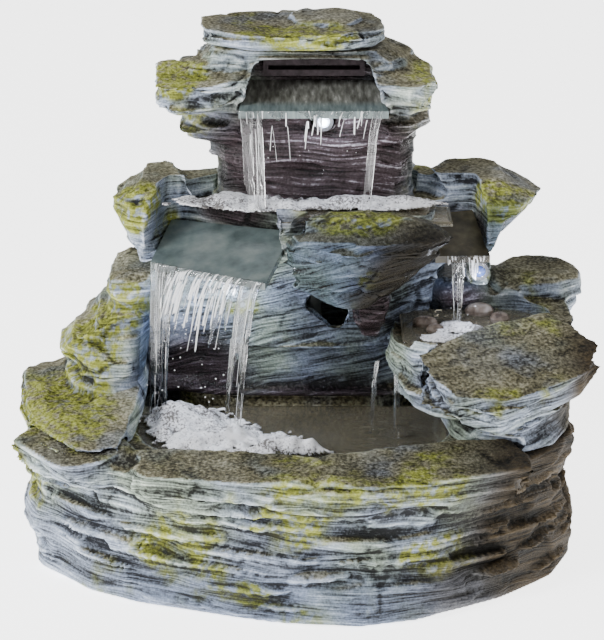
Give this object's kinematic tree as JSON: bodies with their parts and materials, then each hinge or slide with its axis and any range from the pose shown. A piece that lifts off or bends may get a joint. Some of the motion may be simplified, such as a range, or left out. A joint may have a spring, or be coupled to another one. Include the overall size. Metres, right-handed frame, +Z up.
{
  "type": "tabletop fountain",
  "caption": "Rock-cascade tabletop fountain: layered cast-resin tiers, slate spill plates, lamps behind the falls, and a pump tower with a rear access panel in a basin.",
  "frame": {"origin": "on the table, under the middle of the fountain's bounding box", "axes": "+X to the right seen from the front, +Y to the back, +Z up"},
  "size_m": [0.4998, 0.3202, 0.444],
  "materials": {
    "cast_rock": "painted cast resin, matte",
    "spill_slate": "smooth slate-coloured resin, wet",
    "black_rubber": "matte",
    "pump_plastic": "moulded, satin",
    "lamp_glass": "clear lens, lit",
    "pebble": "wet pebble",
    "clear_hose": "clear vinyl",
    "clip_plastic": "moulded nylon",
    "ferrite": "ground",
    "white_ceramic": "polished ceramic"
  },
  "bodies": {
    "fountain": {"basin": "cast_rock", "cap_stone": "cast_rock", "flat_stone": "cast_rock", "foot_pads": "black_rubber", "front_boulder": "cast_rock", "hose_clips": "clip_plastic", "lamp_housing_middle": "pump_plastic", "lamp_housing_right": "pump_plastic", "lamp_housing_top": "pump_plastic", "lamp_lens_middle": "lamp_glass", "lamp_lens_right": "lamp_glass", "lamp_lens_top": "lamp_glass", "lamp_seal_middle": "black_rubber", "lamp_seal_right": "black_rubber", "lamp_seal_top": "black_rubber", "lead_grommet": "black_rubber", "left_rock": "cast_rock", "middle_spill_slate": "spill_slate", "middle_tier": "cast_rock", "outlet_spreader": "pump_plastic", "pool_pebbles": "pebble", "prop_stone": "cast_rock", "pump_block": "pump_plastic", "pump_cover": "pump_plastic", "pump_nozzle": "pump_plastic", "pump_tower": "cast_rock", "right_spill_slate": "spill_slate", "right_tier": "cast_rock", "riser_hose": "clear_hose", "rotor_shaft": "white_ceramic", "shaft_bushes": "black_rubber", "suction_cups": "black_rubber", "top_spill_slate": "spill_slate", "top_tower": "cast_rock", "tower_foot": "cast_rock"},
    "access_panel": {"access_panel": "cast_rock", "panel_seal": "black_rubber"},
    "drain_plug": {"drain_plug": "black_rubber"},
    "flow_dial": {"flow_dial": "pump_plastic"},
    "rotor": {"rotor_magnet": "ferrite", "rotor_vanes": "pump_plastic"}
  },
  "joints": [
    {"name": "panel_pull", "type": "slide", "parent": "fountain", "child": "access_panel", "axis": [0, 1, 0], "range_m": [0, 0.12]},
    {"name": "drain_pull", "type": "slide", "parent": "fountain", "child": "drain_plug", "axis": [0, 1, 0], "range_m": [0, 0.05]},
    {"name": "dial_turn", "type": "hinge", "parent": "fountain", "child": "flow_dial", "pos_m": [0.01, 0.127, 0.053], "axis": [0, 1, 0], "range_deg": [0, 100]},
    {"name": "rotor_spin", "type": "hinge", "parent": "fountain", "child": "rotor", "pos_m": [0.01, 0.113, 0.042], "axis": [0, 1, 0], "continuous": true}
  ]
}
